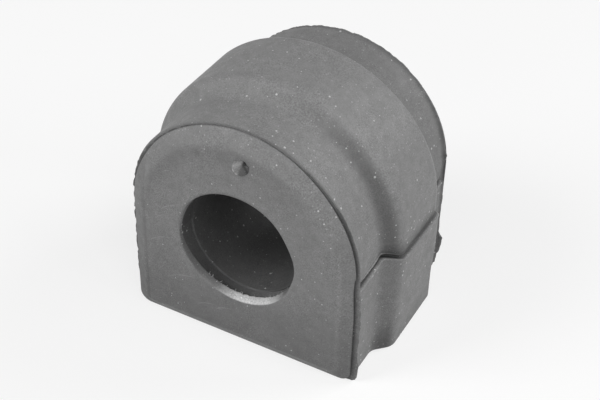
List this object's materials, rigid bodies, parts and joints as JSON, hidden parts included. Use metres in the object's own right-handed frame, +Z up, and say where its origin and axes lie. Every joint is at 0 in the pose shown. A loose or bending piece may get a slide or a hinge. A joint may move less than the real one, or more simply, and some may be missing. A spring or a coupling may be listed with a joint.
{
  "type": "rubber stabiliser bar bush",
  "caption": "D-shaped solid rubber bush with a round through bore, a flat base and a raised clamping band, to cushion a stabiliser bar in its bracket.",
  "frame": {"origin": "centre of the flat base, half way between the two rims", "axes": "+Z up from the flat base to the arch, +Y along the bore from the face with the gate stub to the other, +X to the right of that face"},
  "size_m": [0.0568, 0.0473, 0.0553],
  "materials": {
    "rubber": "matt moulded rubber, dusty and grey-black"
  },
  "bodies": {
    "root": {"bush_body": "rubber"}
  },
  "joints": []
}
